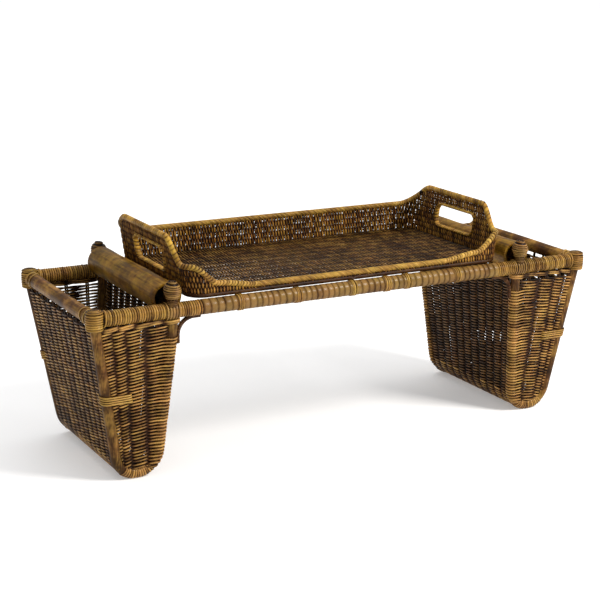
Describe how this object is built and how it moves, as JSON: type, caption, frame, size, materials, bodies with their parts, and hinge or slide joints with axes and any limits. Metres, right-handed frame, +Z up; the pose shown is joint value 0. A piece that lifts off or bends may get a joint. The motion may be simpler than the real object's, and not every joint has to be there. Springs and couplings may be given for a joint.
{
  "type": "bed tray",
  "caption": "Woven cane bed tray with raised slotted handle ends, resting on a rail frame whose two legs are deep woven pocket baskets.",
  "frame": {"origin": "on the ground, under the middle of the tray", "axes": "+X along the length towards the right basket, +Y towards the back (the taller tray wall), +Z up"},
  "size_m": [0.801, 0.2928, 0.3246],
  "materials": {
    "basket_weave": "lacquered cane",
    "tray_floor_weave": "lacquered cane",
    "tray_weave": "lacquered cane",
    "tray_hoop": "lacquered cane",
    "braid": "lacquered cane",
    "handle_cane": "lacquered cane",
    "pole": "lacquered cane",
    "smooth_pole": "lacquered cane",
    "fence_cane": "lacquered cane",
    "round_cane": "lacquered cane",
    "flat_cane": "lacquered cane",
    "binding": "lacquered cane",
    "ringed_cane": "lacquered cane",
    "brace_rod": "lacquered cane"
  },
  "bodies": {
    "stand": {"front_rail": "pole", "rear_rail": "pole", "front_rail_cane_wrap": "round_cane", "rear_rail_cane_wrap": "round_cane", "front_rail_flat_wrap": "flat_cane", "rear_rail_flat_wrap": "flat_cane", "front_rail_bands": "binding", "rear_rail_bands": "binding", "left_end_rail": "smooth_pole", "left_end_bindings": "binding", "left_front_cap": "ringed_cane", "left_rear_cap": "ringed_cane", "left_front_leg": "pole", "left_rear_leg": "pole", "left_leg_bands": "binding", "left_front_wall": "basket_weave", "left_rear_wall": "basket_weave", "left_outer_wall": "basket_weave", "left_inner_wall": "basket_weave", "left_bottom_wall": "basket_weave", "left_fence_bar": "fence_cane", "left_front_post": "ringed_cane", "left_rear_post": "ringed_cane", "left_front_knob": "ringed_cane", "left_rear_knob": "ringed_cane", "left_front_brace": "brace_rod", "left_rear_brace": "brace_rod", "right_end_rail": "smooth_pole", "right_end_bindings": "binding", "right_front_cap": "ringed_cane", "right_rear_cap": "ringed_cane", "right_front_leg": "pole", "right_rear_leg": "pole", "right_leg_bands": "binding", "right_front_wall": "basket_weave", "right_rear_wall": "basket_weave", "right_outer_wall": "basket_weave", "right_inner_wall": "basket_weave", "right_bottom_wall": "basket_weave", "right_fence_bar": "fence_cane", "right_front_post": "ringed_cane", "right_rear_post": "ringed_cane", "right_front_knob": "ringed_cane", "right_rear_knob": "ringed_cane", "right_front_brace": "brace_rod", "right_rear_brace": "brace_rod"},
    "tray": {"tray_floor": "tray_floor_weave", "tray_base_hoop": "tray_hoop", "tray_front_wall": "tray_weave", "tray_rear_wall": "tray_weave", "tray_left_end_wall": "tray_weave", "tray_right_end_wall": "tray_weave", "tray_front_border": "braid", "tray_rear_border": "braid", "tray_left_border": "handle_cane", "tray_right_border": "handle_cane", "tray_left_slot_lining": "handle_cane", "tray_right_slot_lining": "handle_cane"}
  },
  "joints": [
    {"name": "tray_lift", "type": "slide", "parent": "stand", "child": "tray", "axis": [0, 0, 1], "range_m": [0, 0.15]}
  ]
}
